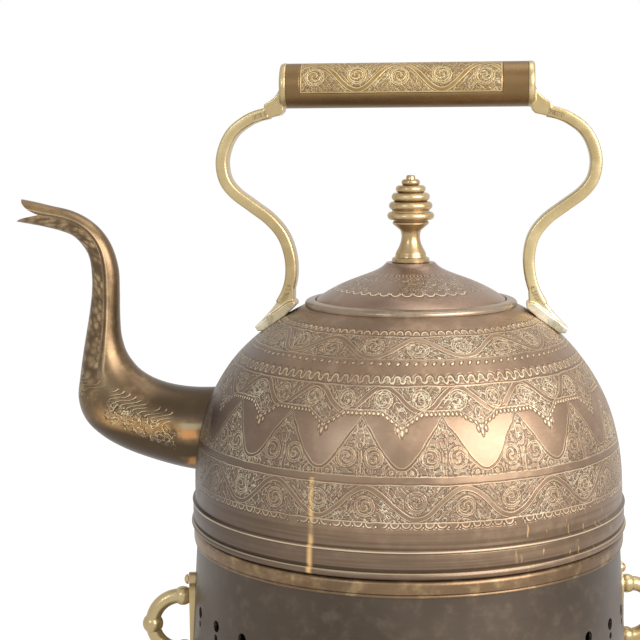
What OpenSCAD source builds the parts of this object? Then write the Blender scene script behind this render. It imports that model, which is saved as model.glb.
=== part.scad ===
// Brass spirit kettle on a drum stand: a domed, engraved kettle with a recessed
// hinged lid, a swan-neck spout with an open beak and a fixed bail handle. It
// stands in the rim of a flared drum that holds a spirit burner.
// The frame: floor at z = 0, drum axis on Z, spout towards -X, doorway towards -Y.
// Heights called "over the ridge" count from the raised line at the foot of the dome.

/* [Kettle body] */
// Height of the ridge line above the floor
ridge_z = 179; // [176:1:184]
// Radius of the body at the ridge line
body_r = 114.5; // [113:0.5:116]
// Height at which the dome's curve would close
dome_h = 115.0; // [112:0.1:116]
// Fullness of the dome's shoulder
dome_power = 2.45; // [2.4:0.01:2.7]
// Thickness of the raised sheet
sheet = 1.5; // [1.2:0.1:2]
// Radius of the bottom pan that drops into the stand
pan_r = 106; // [98:1:107]
// Depth of the pan below the ridge line
pan_drop = 44; // [36:1:50]

/* [Mouth and lid] */
// Radius of the opening in the dome
mouth_r = 54.9; // [54:0.1:55.5]
// Radius of the throat that the lid's skirt enters
throat_r = 46.6; // [46:0.1:47]
// Radius of the lid's edge
lid_r = 50.4; // [50:0.1:50.6]
// Height of the lid's seat over the ridge
seat_h = 103.6; // [103.4:0.1:103.8]
// Thickness of the lid's sheet
lid_sheet = 1.3; // [1:0.1:1.6]
// Distance of the hinge axis behind the kettle's axis
hinge_y = 56.4; // [56.2:0.1:57]
// Height of the hinge axis over the ridge
hinge_h = 109.2; // [109:0.1:109.6]
// Radius of the hinge knuckles
knuckle_r = 2.8; // [2.5:0.1:2.8]
// Radius of the hinge pin
pin_r = 1.2; // [1:0.1:1.4]
// Running clearance between a pin and its bore
pin_gap = 0.04; // [0.02:0.01:0.08]

/* [Finial] */
// Radius of the shank that holds the finial on the lid
shank_r = 2.5; // [2:0.1:3]

/* [Bail handle] */
// Height of the grip's axis over the ridge
grip_h = 218.3; // [215:0.1:222]
// Radius of the grip tube
grip_r = 11.7; // [10.8:0.1:12]
// Half the length of the grip tube
grip_half = 62.9; // [61:0.1:64]
// Thickness of the cast arms in the plane of the bail
arm_t = 6.1; // [5:0.1:7]
// Depth of the cast arms from front to back
arm_d = 12.5; // [10:0.5:16]
// Chamfer along the arms' edges
arm_edge = 1.3; // [0.8:0.1:1.8]
// Width of the foot pads from front to back
pad_w = 17; // [14:1:22]

/* [Spout] */
// Thickness of the spout's sheet
spout_wall = 1.2; // [1:0.1:1.5]
// Radius of the hole through the body into the spout
spout_hole_r = 14; // [10:1:15]

/* [Stand] */
// Height of the stand's rim, where the kettle's bead rests
rim_z = 165; // [165:1:165]
// Radius of the drum under the rim
drum_r = 113.6; // [113.6:0.1:114]
// Slope of the drum's wall, in degrees from upright
drum_flare = 3.5; // [2:0.5:3.5]
// Height of the drum's lower edge
drum_z = 46; // [44:1:48]
// Thickness of the drum's sheet
drum_sheet = 1.6; // [1.4:0.1:2]
// Radius of the foot ring
foot_r = 133; // [130:1:136]
// Width of the doorway
door_w = 84; // [80:1:86]
// Height of the doorway's spring line above the floor
door_spring_z = 78; // [76:1:82]
// Number of arches pierced through the skirt
skirt_arches = 24; // [16:2:28]
// Angle between the side handles and the bail's plane
handle_turn = 10; // [8:1:14]
// Height of the side handles' middle
handle_z = 109.5; // [105:0.5:112]

/* [Burner] */
// Radius of the fuel reservoir
tank_r = 36; // [30:1:37]
// Height of the reservoir's straight wall
tank_wall_h = 22; // [18:1:24]
// Height of the whole reservoir
tank_h = 31; // [29:1:33]
// Radius of the wick tube
wick_tube_r = 6; // [5:0.5:6.5]

/* [Hidden] */

round_fn = 96;
small_fn = 48;
far = 400;
patina = [0.53, 0.44, 0.36];
cast_brass = [0.80, 0.70, 0.47];
gold = [0.69, 0.57, 0.38];
dark = [0.33, 0.27, 0.22];
cotton = [0.9, 0.87, 0.78];

// A point on a Bezier curve of any number of control points
function bezier(p, t) = len(p) == 1 ? p[0]
    : bezier([for (i = [0:len(p) - 2]) p[i] * (1 - t) + p[i + 1] * t], t);
function bezier_line(p, n) = [for (i = [0:n]) bezier(p, i / n)];

// A smooth line through hand-placed stations
function at(p, i) = p[min(max(i, 0), len(p) - 1)];
function through(p, i, t) = 0.5 * (2 * at(p, i) + (at(p, i + 1) - at(p, i - 1)) * t
    + (2 * at(p, i - 1) - 5 * at(p, i) + 4 * at(p, i + 1) - at(p, i + 2)) * t * t
    + (3 * at(p, i) - at(p, i - 1) - 3 * at(p, i + 1) + at(p, i + 2)) * t * t * t);
function smooth_line(p, steps) = concat(
    [for (i = [0:len(p) - 2]) for (k = [0:steps - 1]) through(p, i, k / steps)],
    [at(p, len(p) - 1)]);

// Points of an arc in the half plane of a turned profile
function arc(centre, r, from, to, n) =
    [for (i = [0:n]) centre + r * [cos(from + (to - from) * i / n), sin(from + (to - from) * i / n)]];

// The dome: radius at a height over the ridge, and the same point moved inwards
function dome_radius(h) = body_r * sqrt(1 - pow(max(h, 0) / dome_h, dome_power));
function dome_height(r) = dome_h * pow(1 - pow(r / body_r, 2), 1 / dome_power);
function dome_normal(h) = let (
    d = [dome_radius(h + 0.05) - dome_radius(max(h - 0.05, 0)), 0.1])
    [d[1], -d[0]] / norm(d);
function dome_point(h, inwards) = [dome_radius(h), h] - inwards * dome_normal(h);
dome_steps = 26;
dome_top_h = dome_height(mouth_r);
function dome_step_h(i) = 1.2 + (dome_top_h - 1.2) * (1 - pow(1 - i / dome_steps, 1.35));
dome_line = [for (i = [0:dome_steps]) dome_point(dome_step_h(i), 0)];
dome_inner = [for (i = [dome_steps - 1:-1:0]) dome_point(dome_step_h(i), sheet)];

// Everything inside the dome's outer surface, to seat other pieces on
module dome_solid() {
    translate([0, 0, ridge_z]) rotate_extrude($fn = round_fn)
        polygon(concat([[0, 0], [body_r, 0]], dome_line, [[0, dome_top_h]]));
}

// A closed loft through rings of equal length
function loft_sides(n, from, to) = [for (j = [from:to - 1]) for (i = [0:n - 1])
    let (a = j * n + i, b = j * n + (i + 1) % n)
    each [[a, a + n, b], [b, a + n, b + n]]];
module loft(rings) {
    n = len(rings[0]);
    m = len(rings);
    polyhedron(points = [for (r = rings) each r], faces = concat(
        loft_sides(n, 0, m - 1),
        [[for (i = [0:n - 1]) i]],
        [[for (i = [n - 1:-1:0]) (m - 1) * n + i]]));
}
// A tube between outer and inner rings, open at both ends
module loft_tube(outer, inner) {
    n = len(outer[0]);
    m = len(outer);
    shift = n * m;
    ends = [for (j = [0, m - 1]) for (i = [0:n - 1])
        let (a = j * n + i, b = j * n + (i + 1) % n)
        each (j == 0 ? [[a, b, a + shift], [b, b + shift, a + shift]]
            : [[a, a + shift, b], [b, a + shift, b + shift]])];
    polyhedron(points = [for (r = concat(outer, inner)) each r], faces = concat(
        loft_sides(n, 0, m - 1),
        [for (f = loft_sides(n, 0, m - 1)) [f[0], f[2], f[1]] + [shift, shift, shift]],
        ends));
}

module turned(points) {
    translate([0, 0, ridge_z]) rotate_extrude($fn = round_fn) polygon(points);
}

// The raised body: ridge line, belt, rolled bead and dome in one sheet
bead_foot_h = rim_z - ridge_z;
bead_lip_r = 110.5;
// The pan's flange lies on the bead's lip: its height and its outer radius
flange_h = bead_foot_h + 1.6;
flange_r = bead_lip_r + 0.6;
spout_hole_h = 33;
module kettle_body() {
    belt_r = body_r + 1.1;
    bead_c = [body_r + 0.2, bead_foot_h + 2.3];
    color(patina) difference() {
        turned(concat(dome_line, dome_inner,
            [[body_r - sheet, flange_h + 1.6], [flange_r + 0.5, flange_h], [bead_lip_r, flange_h]],
            [[bead_lip_r, bead_foot_h], [body_r - 1, bead_foot_h]],
            arc(bead_c, 1.9, -70, 75, 8),
            [[belt_r - 0.25, -8.6], [belt_r, -8.2], [belt_r, -1.4]],
            arc([body_r + 0.5, -0.2], 0.95, -50, 60, 5)));
        translate([0, 0, ridge_z + spout_hole_h]) rotate([0, -90, 0])
            cylinder(r = spout_hole_r, h = body_r + 10, $fn = small_fn);
    }
}

// Bottom pan with a flange that is soldered on the bead's inner lip
pan_sheet = 1.3;
pan_corner = 9;
flange_t = 0.8;
module kettle_pan() {
    corner = [pan_r - pan_corner, -pan_drop + pan_corner];
    color(dark) turned(concat(
        [[0, -pan_drop + pan_sheet], [0, -pan_drop]],
        arc(corner, pan_corner, -90, 0, 8),
        [[pan_r, flange_h], [flange_r, flange_h], [flange_r, flange_h + flange_t]],
        [[pan_r - pan_sheet, flange_h + flange_t]],
        arc(corner, pan_corner - pan_sheet, 0, -90, 8)));
}

// Turned ring round the mouth, with the rebate that the lid sits in
ring_r = 56.3;
lip_top_h = 106.1;
rebate_r = 50.9;
skin_gap = 0.12;
module mouth_ring() {
    skin = dome_height(mouth_r) + skin_gap;
    color(gold) turned(concat(
        [[throat_r, seat_h - 2.6], [mouth_r - 0.02, seat_h - 2.6], [mouth_r - 0.02, skin]],
        [[ring_r, dome_height(ring_r) + skin_gap], [ring_r + 0.1, seat_h - 0.1]],
        arc([ring_r - 1.9, seat_h], 2, 0, 60, 4),
        bezier_line([[54.5, 105.7], [53.1, 106.1], [rebate_r + 0.4, lip_top_h]], 4),
        [[rebate_r, lip_top_h - 0.4], [rebate_r, seat_h], [throat_r, seat_h]]));
}

// Spout: stations from the root to the beak, each [lower x, lower h, upper x, upper h, half depth]
spout_stations = [
    [-106.3, 10.2, -100.9, 56.7, 19.9], [-120.5, 12, -116.1, 56.5, 20.3], [-136.7, 16, -129.1, 58.1, 19.8],
    [-152.8, 21.4, -139.1, 61.4, 18.8], [-166.4, 28.4, -146.4, 66, 17.2], [-176.3, 37.6, -150.6, 70.8, 15.6],
    [-180.4, 49.4, -153.3, 75.1, 14], [-179.1, 63, -154.9, 79.5, 12.1], [-176.8, 77.5, -156.3, 86.6, 10.3],
    [-173.6, 94.6, -156.6, 98.1, 8.6], [-171.6, 108.5, -156.4, 108.5, 7.6], [-171.4, 119.4, -156.7, 121, 7.1],
    [-172.7, 128.1, -159.9, 132.9, 6.8], [-176.4, 134.5, -165.4, 141.8, 6.5], [-181.4, 139.2, -172.8, 148.3, 6.3],
    [-188.3, 141.9, -182.3, 152.9, 6.2], [-197.2, 144.1, -193.8, 155.6, 6.2], [-205.2, 145.6, -202.6, 157.7, 6.3],
    [-213.4, 147, -209.9, 159.1, 6.3]];
spout_sides = 20;
function spout_ring(s, inwards) = let (
    low = [s[0], s[1]], high = [s[2], s[3]], mid = (low + high) / 2,
    half = (high - low) / 2, k = (norm(half) - inwards) / norm(half))
    [for (i = [0:spout_sides - 1]) let (a = 360 * i / spout_sides, p = mid + half * k * cos(a))
        [p[0], (s[4] - inwards) * sin(a), ridge_z + p[1]]];
// The beak's gape, seen from the front
notch = [-198.5, 150.6];
module spout() {
    path = smooth_line(spout_stations, 2);
    upper_jaw = bezier_line([notch, [-204.4, 152.9], [-208.4, 155.4], [-209.7, 160.2]], 5);
    lower_jaw = bezier_line([[-213, 146.4], [-209.3, 149.4], [-203.9, 149.6], notch], 5);
    color(patina) difference() {
        loft_tube([for (s = path) spout_ring(s, 0)], [for (s = path) spout_ring(s, spout_wall)]);
        dome_solid();
        translate([0, 20, ridge_z]) rotate([90, 0, 0]) linear_extrude(40)
            polygon(concat(upper_jaw, [[-220, 160.2], [-220, 144]], lower_jaw));
    }
}

// Thickness of the plate that closes each end of the grip tube
plate_t = 3.4;
// Bail arm: the line of the S from the lug to the foot, in the plane of the bail
arm_line = [[73.1, 204.2], [78.9, 202.8], [84.7, 200.2], [91.8, 194.8], [96.3, 187.3], [98.3, 178.2],
    [96.7, 169.1], [91.5, 162.1], [82.2, 155.1], [72.9, 148], [66.2, 139.4], [63.2, 128.9],
    [63.3, 118.5], [65.6, 109.9], [69.3, 103]];
module bail_arm() {
    path = smooth_line(arm_line, 2);
    m = len(path);
    c = arm_edge;
    u = arm_t / 2;
    v = arm_d / 2;
    section = [[-u, -v + c], [-u + c, -v], [u - c, -v], [u, -v + c],
        [u, v - c], [u - c, v], [-u + c, v], [-u, v - c]];
    rings = [for (i = [0:m - 1])
        let (d = at(path, i + 1) - at(path, i - 1), n = [d[1], -d[0]] / norm(d))
        [for (q = section) [path[i][0] + n[0] * q[0], q[1], ridge_z + path[i][1] + n[1] * q[0]]]];
    outer_foot = bezier_line([[67, 113.5], [69.2, 105.1], [74.6, 99.2], [82.8, 91.2]], 6);
    color(cast_brass) difference() {
        union() {
            loft(rings);
            // Lug, with the step on its outer side and the fillet up to the end plate
            in_bail_plane(arm_d) polygon(concat(
                [[64.7, 208.5], [64.8, 205.1], [66.6, 203.2], [73.8, 201.5], [81.8, 198.8], [83.3, 203.8]],
                [[75, 206.3]],
                bezier_line([[74.9, 208.8], [68.7, 211.8], [66.4, 215.3], [65.9, 220.4]], 5),
                [[64.5, 220.4]]));
            // End plate that closes the grip tube
            translate([grip_half, 0, ridge_z + grip_h]) rotate([0, 90, 0])
                cylinder(r1 = grip_r + 0.2, r2 = grip_r - 0.8, h = plate_t, $fn = small_fn);
            // Flare of the foot, and the pad on the shoulder
            in_bail_plane(arm_d) polygon(concat(outer_foot, [[72.7, 94], [62.4, 104.2], [60.4, 113.5]]));
            in_bail_plane(pad_w) polygon([[83, 91], [81.4, 88.6], [78.1, 89], [66.8, 96.8], [61, 102.2],
                [61.2, 103.8], [62.6, 105], [65.3, 104.2]]);
        }
        dome_solid();
    }
}
module in_bail_plane(depth) {
    translate([0, depth / 2, ridge_z]) rotate([90, 0, 0]) linear_extrude(depth) children();
}

module grip_tube() {
    color(patina) translate([-grip_half, 0, ridge_z + grip_h]) rotate([0, 90, 0]) difference() {
        cylinder(r = grip_r, h = 2 * grip_half, $fn = small_fn);
        translate([0, 0, -1]) cylinder(r = grip_r - 1.2, h = 2 * grip_half + 2, $fn = small_fn);
    }
}

// Hinge: two knuckles on the ring's back, one on the lid's strap, and the pin
leaf_half = 12.5;
lid_knuckle_half = 5;
module along_x(from, to, r) {
    translate([from, hinge_y, ridge_z + hinge_h]) rotate([0, 90, 0])
        cylinder(r = r, h = to - from, $fn = small_fn);
}
module hinge_leaf() {
    back_y = hinge_y + knuckle_r;
    color(gold) difference() {
        union() {
            along_x(-leaf_half, leaf_half, knuckle_r);
            translate([-leaf_half, ring_r + 0.4, ridge_z + 91.6])
                cube([2 * leaf_half, back_y - ring_r - 0.4, hinge_h - 91.6]);
        }
        along_x(-lid_knuckle_half - 0.2, lid_knuckle_half + 0.2, knuckle_r + 0.6);
        along_x(-leaf_half - 1, leaf_half + 1, pin_r + pin_gap);
        dome_solid();
    }
}
module hinge_pin() {
    color(gold) along_x(-leaf_half - 0.6, leaf_half + 0.6, pin_r);
}

// Lid: top line of the sheet from the edge to the finial's seat
lid_top_h = 125.2;
shank_gap = 0.06;
lid_line = concat([[lid_r, seat_h], [lid_r, 105.4]], bezier_line([[50.1, 105.9], [45.1, 109.9],
    [35.2, 115.7], [27, 117.7], [18.2, 119.8], [15.2, 122.4], [12.9, lid_top_h]], 12));
lid_under = bezier_line([[12, lid_top_h - lid_sheet], [14.3, 121], [17.5, 118.6],
    [26.8, 116.3], [35.2, 114.1], [43.7, 108.9], [46.4, seat_h + lid_sheet]], 12);
module lid_dome() {
    color(patina) turned(concat(lid_line,
        [[shank_r + shank_gap, lid_top_h], [shank_r + shank_gap, lid_top_h - lid_sheet]],
        lid_under, [[44, seat_h + lid_sheet], [44, seat_h]]));
}
module lid_skirt() {
    r = throat_r - 0.9;
    wall = 1.4;
    foot = seat_h - 6.6;
    color(gold) turned([[r - wall, seat_h], [r, seat_h], [r, foot + 0.6], [r - 0.5, foot], [r - wall, foot]]);
}
module lid_strap() {
    top = knuckle_r - 0.6;
    color(gold) difference() {
        union() {
            along_x(-lid_knuckle_half, lid_knuckle_half, knuckle_r);
            translate([-lid_knuckle_half, 0, ridge_z]) rotate([90, 0, 90])
                linear_extrude(2 * lid_knuckle_half) polygon([[hinge_y, hinge_h + top], [44.1, hinge_h + top],
                    [40.1, 113.7], [40.2, 107.5], [48, 106.4], [hinge_y, 106.5]]);
        }
        along_x(-leaf_half, leaf_half, pin_r + pin_gap);
        turned(concat([[0, seat_h]], lid_line, [[0, lid_top_h]]));
    }
}

// Finial: beehive tiers, each [radius, height over the ridge, half thickness]
finial_tiers = [[12.4, 149.9, 2.1], [11.5, 155.2, 2.2], [10.1, 159.9, 2.2], [7.9, 164, 2], [4.9, 167.5, 1.7]];
module finial() {
    foot = concat([[0, lid_top_h], [9.6, lid_top_h], [10, 125.7], [10, 127], [9.4, 127.8], [8.4, 128.1]],
        bezier_line([[8.1, 128.9], [8.7, 130.9], [5.1, 132.9], [4.2, 138.2], [4.6, 140.6], [5.8, 142.5]], 8),
        [[9, 145.1], [9.6, 145.8], [9.6, 146.5], [8.9, 147.3], [9.3, 147.8], [0, 170.4]]);
    color(gold) union() {
        turned(foot);
        translate([0, 0, ridge_z]) {
            for (t = finial_tiers) translate([0, 0, t[1]]) rotate_extrude($fn = round_fn) {
                translate([0, -t[2]]) square([t[0] - t[2], 2 * t[2]]);
                translate([t[0] - t[2], 0]) circle(r = t[2], $fn = 24);
            }
            translate([0, 0, 168.5]) cylinder(r1 = 2.5, r2 = 2, h = 2.9, $fn = small_fn);
            translate([0, 0, lid_top_h - 7]) cylinder(r = shank_r, h = 8, $fn = small_fn);
        }
    }
}
module finial_nut() {
    nut_h = 3;
    color(dark) translate([0, 0, ridge_z + lid_top_h - lid_sheet - nut_h]) difference() {
        cylinder(r = 5.4, h = nut_h, $fn = 6);
        translate([0, 0, -1]) cylinder(r = shank_r + 0.02, h = nut_h + 2, $fn = small_fn);
    }
}

// Radius of the drum's outer face at a height above the floor
drum_top = rim_z - 5;
function drum_radius(z) = drum_r + (drum_top - z) * tan(drum_flare);
// The doorway: upright jambs under a slightly pointed arch
module doorway(grow) {
    w = door_w / 2 + grow;
    off = 8;
    union() {
        translate([-w, drum_z + 1.5 - grow]) square([2 * w, door_spring_z - drum_z - 1.5 + grow]);
        intersection() {
            translate([off, door_spring_z]) circle(r = w + off, $fn = round_fn);
            translate([-off, door_spring_z]) circle(r = w + off, $fn = round_fn);
            translate([-w, door_spring_z]) square([2 * w, 2 * w]);
        }
    }
}
module through_front(depth) {
    rotate([90, 0, 0]) linear_extrude(depth) children();
}
// A cut straight out through the wall at an angle round the drum
wall_cut = 60;
module through_wall(a, z, from = 90) {
    rotate([0, 0, a]) translate([from, 0, z]) rotate([0, 90, 0]) children();
}
vent_z = 124;
vent_spacing = 12;
function vent_clear(a, b) = abs((a - b + 540) % 360 - 180);
vent_angles = [for (a = [0:vent_spacing:359])
    if (vent_clear(a, 270) > 34 && vent_clear(a, handle_turn) > 11 && vent_clear(a, handle_turn + 180) > 11) a];
module stand_drum() {
    color(patina) difference() {
        rotate_extrude($fn = round_fn) polygon([[drum_radius(drum_z), drum_z], [drum_r, drum_top],
            [drum_r - drum_sheet, drum_top], [drum_radius(drum_z) - drum_sheet, drum_z]]);
        through_front(far) doorway(0);
        for (a = vent_angles) through_wall(a, vent_z) cylinder(r = 3, h = wall_cut, $fn = 24);
        for (a = vent_angles) through_wall(a, vent_z - 6) cylinder(r = 1.7, h = wall_cut, $fn = 24);
        for (side = [-1, 1]) on_side(side) rivet_pair();
    }
}
// Rolled rim: a flat seat for the kettle's bead, and a skirt over the drum's edge
rim_bore = 109.2;
module stand_rim() {
    low = rim_z - 8.4;
    out = 115.4;
    roll = 2.6;
    over = 0.15;
    color(gold) rotate_extrude($fn = round_fn) polygon(concat(
        [[rim_bore, drum_top], [drum_r + over, drum_top], [drum_radius(low) + over, low], [out - 0.5, low]],
        [[out - 0.3, low + 0.5], [out - 0.7, low + 1.1], [out, low + 1.9]],
        arc([out - roll, rim_z - roll], roll, 0, 90, 6), [[rim_bore, rim_z]]));
}
// Flared skirt on a foot ring, pierced with arches
module stand_base() {
    top_r = drum_radius(drum_z);
    skirt = bezier_line([[top_r + 1.4, 39], [top_r - 1, 30], [foot_r - 9, 25], [foot_r - 3, 11]], 9);
    inner = bezier_line([[foot_r - 5.2, 10], [foot_r - 11.4, 23.6], [top_r - 3.4, 29], [top_r - 1, 39.4]], 9);
    color(patina) difference() {
        rotate_extrude($fn = round_fn) polygon(concat(
            [[top_r - 7, drum_z], [top_r + 0.6, drum_z]], arc([top_r + 0.2, drum_z - 3.4], 3.4, 70, -70, 8),
            skirt, [[foot_r - 2.6, 9.4]], arc([foot_r - 4.4, 4.6], 4.4, 70, -60, 8),
            [[foot_r - 3.4, 0], [foot_r - 9.6, 0], [foot_r - 9.6, 2.6]], inner, [[top_r - 7, drum_z - 2.4]]));
        for (i = [0:skirt_arches - 1]) through_wall(360 * (i + 0.5) / skirt_arches, 20) {
            cylinder(r = 5, h = wall_cut, $fn = 32);
            translate([1, -3.6, 0]) cube([7, 7.2, wall_cut]);
        }
    }
}
// Floor plate with air holes round the burner
floor_t = 2;
module air_holes(count, start, ring, r) {
    for (i = [0:count - 1]) rotate([0, 0, start + 360 * i / count])
        translate([ring, 0, drum_z - 1]) cylinder(r = r, h = floor_t + 2, $fn = 32);
}
module stand_floor() {
    color(dark) difference() {
        translate([0, 0, drum_z])
            cylinder(r = drum_radius(drum_z) - drum_sheet - 0.4, h = floor_t, $fn = round_fn);
        air_holes(12, 0, 54, 6);
        air_holes(24, 7.5, 78, 4);
    }
}
// Moulding round the doorway, laid on the drum's face
module door_frame() {
    frame_t = 1.6;
    frame_w = 6;
    inset = 0.6;
    low = drum_z + 0.1;
    high = drum_top - 5;
    color(gold) intersection() {
        rotate_extrude($fn = round_fn) polygon([[drum_radius(low), low], [drum_radius(high), high],
            [drum_radius(high) + frame_t, high], [drum_radius(low) + frame_t, low]]);
        through_front(far) difference() {
            doorway(frame_w);
            doorway(inset);
            translate([-far, 0]) square([2 * far, low]);
            translate([-door_w / 2 - inset, 0]) square([door_w + 2 * inset, door_spring_z]);
        }
    }
}

// Side handle, for the +X side: a ring-shaped loop between beaded ends on a plate
loop_r = 15;
bar_r = 4;
rivet_up = 24.2;
lobe_r = 7.5;
rivet_r = 1.5;
module on_side(side) {
    rotate([0, 0, handle_turn + (side > 0 ? 0 : 180)]) children();
}
module side_handle() {
    wall = drum_radius(handle_z);
    reach = wall + 7;
    color(cast_brass) difference() {
        union() {
            translate([reach, 0, handle_z]) rotate([90, 0, 0]) rotate([0, 0, -90])
                rotate_extrude(angle = 180, $fn = small_fn) translate([loop_r, 0]) circle(r = bar_r, $fn = 32);
            for (s = [-1, 1]) translate([0, 0, handle_z + s * loop_r]) {
                translate([wall - 3, 0, 0]) rotate([0, 90, 0]) cylinder(r = bar_r, h = 10, $fn = 32);
                translate([wall + 5.4, 0, 0]) sphere(r = 5.2, $fn = small_fn);
            }
            translate([reach + loop_r, 0, handle_z]) sphere(r = 5.6, $fn = small_fn);
            // Escutcheon with lobed ends
            translate([wall - 3, 0, handle_z]) rotate([0, 90, 0]) linear_extrude(5) {
                square([2 * loop_r, 2 * lobe_r], center = true);
                for (s = [-1, 1]) translate([s * loop_r, 0]) circle(r = lobe_r, $fn = 32);
                for (s = [-1, 1]) translate([s * rivet_up, 0]) circle(r = 3.8, $fn = 32);
            }
        }
        rotate_extrude($fn = round_fn)
            polygon([[0, drum_z], [drum_radius(drum_z), drum_z], [drum_r, drum_top], [0, drum_top]]);
        rivet_pair();
    }
}
module rivet_pair() {
    for (s = [-1, 1]) through_wall(0, handle_z + s * rivet_up)
        cylinder(r = rivet_r + 0.02, h = wall_cut, $fn = 24);
}
module handle_rivets() {
    wall = drum_radius(handle_z);
    tail = wall - 4.6;
    color(gold) for (side = [-1, 1]) on_side(side) for (s = [-1, 1])
        through_wall(0, handle_z + s * rivet_up, tail) rotate_extrude($fn = 32) polygon(concat(
            [[0, 0], [2.5, 0], [2.5, 1.2], [rivet_r, 1.2], [rivet_r, 6.9], [2.7, 6.9]],
            bezier_line([[2.7, 7.3], [2.5, 8.6], [1.2, 9.2], [0, 9.2]], 4)));
}

// Burner: its parts stand on the floor plate, on the drum's axis
tank_z = drum_z + floor_t;
collar_r = 11;
collar_bore = 8.6;
module burner_tank() {
    wall = 1;
    r = tank_r;
    roof = [[r, tank_wall_h], [r - 1, tank_wall_h + 7], [20, tank_h - 2], [collar_r, tank_h]];
    roof_under = [[collar_r - 1, tank_h - wall], [19.6, tank_h - 2 - wall],
        [r - 2, tank_wall_h + 5.6], [r - wall, tank_wall_h]];
    color(gold) translate([0, 0, tank_z]) rotate_extrude($fn = round_fn) polygon(concat(
        [[0, 0], [r - 2.5, 0], [r - 1.2, 1], [r - 1.2, 1.8], [r, 2.6]], bezier_line(roof, 8),
        [[collar_bore, tank_h], [collar_bore, tank_h - wall]], bezier_line(roof_under, 8),
        [[r - wall, 3.4], [r - 3, 1], [0, 1]]));
}
module tank_collar() {
    h = 5;
    color(cast_brass) translate([0, 0, tank_z + tank_h]) difference() {
        union() {
            cylinder(r = collar_r, h = h, $fn = small_fn);
            translate([0, 0, 1]) cylinder(r = collar_r + 1.2, h = 1.6, $fn = small_fn);
        }
        translate([0, 0, -1]) cylinder(r = collar_bore, h = h + 2, $fn = small_fn);
    }
}
// Screwed-in holder: plug, flange, wick tube and the lug of the snuffer's hinge
holder_z = tank_z + tank_h + 5;
wick_r = wick_tube_r - 1.1;
cap_hinge = [0, 15.4, holder_z + 4.2];
cap_pin_r = 0.8;
ear_r = 1.9;
ear_t = 2;
tail_half = 2.2;
module on_cap_hinge(half, r) {
    translate([-half, cap_hinge[1], cap_hinge[2]]) rotate([0, 90, 0]) cylinder(r = r, h = 2 * half, $fn = 32);
}
module wick_holder() {
    plug = 9;
    color(cast_brass) difference() {
        union() {
            translate([0, 0, holder_z - plug]) cylinder(r = collar_bore - 0.06, h = plug + 0.5, $fn = small_fn);
            translate([0, 0, holder_z]) cylinder(r = 13, h = 2.2, $fn = small_fn);
            translate([0, 0, holder_z + 2]) cylinder(r = wick_tube_r, h = 8, $fn = small_fn);
            for (s = [-1, 1]) translate([s * (tail_half + 0.2 + ear_t / 2), 0, 0]) {
                translate([-ear_t / 2, cap_hinge[1] - 4, holder_z]) cube([ear_t, 4, cap_hinge[2] - holder_z]);
                on_cap_hinge(ear_t / 2, ear_r);
            }
        }
        translate([0, 0, holder_z - plug - 1]) cylinder(r = wick_r, h = 30, $fn = small_fn);
        on_cap_hinge(6, cap_pin_r + pin_gap);
    }
}
module wick() {
    low = tank_z + 14;
    color(cotton) translate([0, 0, low])
        cylinder(r = wick_r - 0.02, h = holder_z + 11.4 - low, $fn = small_fn);
}
// Hinged snuffer: a turned cap with a small knob, its tail knuckle between the lugs
cap_r = 9.6;
cap_h = 16;
module snuffer_cap() {
    base = holder_z + 2.6;
    color(gold) difference() {
        union() {
            translate([0, 0, base]) rotate_extrude($fn = small_fn) polygon(concat(
                [[cap_r - 1.2, 0], [cap_r + 0.5, 0], [cap_r + 0.5, 1.4], [cap_r, 2]],
                bezier_line([[cap_r, cap_h - 5], [cap_r, cap_h], [3, cap_h - 0.6], [2, cap_h + 2]], 7),
                arc([0, cap_h + 4], 2.9, -50, 90, 8),
                [[0, cap_h - 1.6]],
                bezier_line([[2, cap_h - 1.6], [cap_r - 1.4, cap_h - 1.2], [cap_r - 1.2, cap_h - 6]], 5)));
            translate([-tail_half, cap_r - 0.6, base]) cube([2 * tail_half, cap_hinge[1] - cap_r + 0.6, 2.6]);
            on_cap_hinge(tail_half, ear_r);
        }
        on_cap_hinge(tail_half + 1, cap_pin_r + pin_gap);
    }
}
module snuffer_pin() {
    color(gold) on_cap_hinge(4.8, cap_pin_r);
}

kettle_body();
kettle_pan();
mouth_ring();
spout();
mirror([1, 0, 0]) bail_arm();  // bail_arm_left
bail_arm();  // bail_arm_right
grip_tube();
hinge_leaf();
hinge_pin();
lid_dome();
lid_skirt();
lid_strap();
finial();
finial_nut();
stand_drum();
stand_rim();
stand_base();
stand_floor();
door_frame();
on_side(-1) side_handle();  // side_handle_left
on_side(1) side_handle();  // side_handle_right
handle_rivets();
burner_tank();
tank_collar();
wick_holder();
wick();
snuffer_cap();
snuffer_pin();
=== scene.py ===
import math

import bpy
import bmesh
import numpy as np
from mathutils import Matrix, Vector


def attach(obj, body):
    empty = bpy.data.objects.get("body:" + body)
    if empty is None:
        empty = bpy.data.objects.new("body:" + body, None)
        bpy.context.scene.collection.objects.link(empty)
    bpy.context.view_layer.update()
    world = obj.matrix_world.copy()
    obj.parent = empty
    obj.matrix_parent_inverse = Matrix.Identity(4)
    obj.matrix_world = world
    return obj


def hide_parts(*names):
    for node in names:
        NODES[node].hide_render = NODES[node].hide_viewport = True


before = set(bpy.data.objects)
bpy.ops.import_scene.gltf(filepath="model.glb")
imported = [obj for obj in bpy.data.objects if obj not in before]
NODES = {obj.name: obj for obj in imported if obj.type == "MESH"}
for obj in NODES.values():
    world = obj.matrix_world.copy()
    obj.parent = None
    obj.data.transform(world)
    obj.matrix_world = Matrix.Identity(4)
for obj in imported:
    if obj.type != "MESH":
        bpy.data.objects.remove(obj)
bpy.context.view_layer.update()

# Lengths in this script are millimetres in the row frame; meshes are made in metres.
# z is a height above the table, and h a height above the ridge line round the kettle's body.
MM = 0.001
RIDGE_Z = 179.0
BODY_R, DOME_H, DOME_P, SHEET = 114.5, 115.0, 2.45, 1.5
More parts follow.
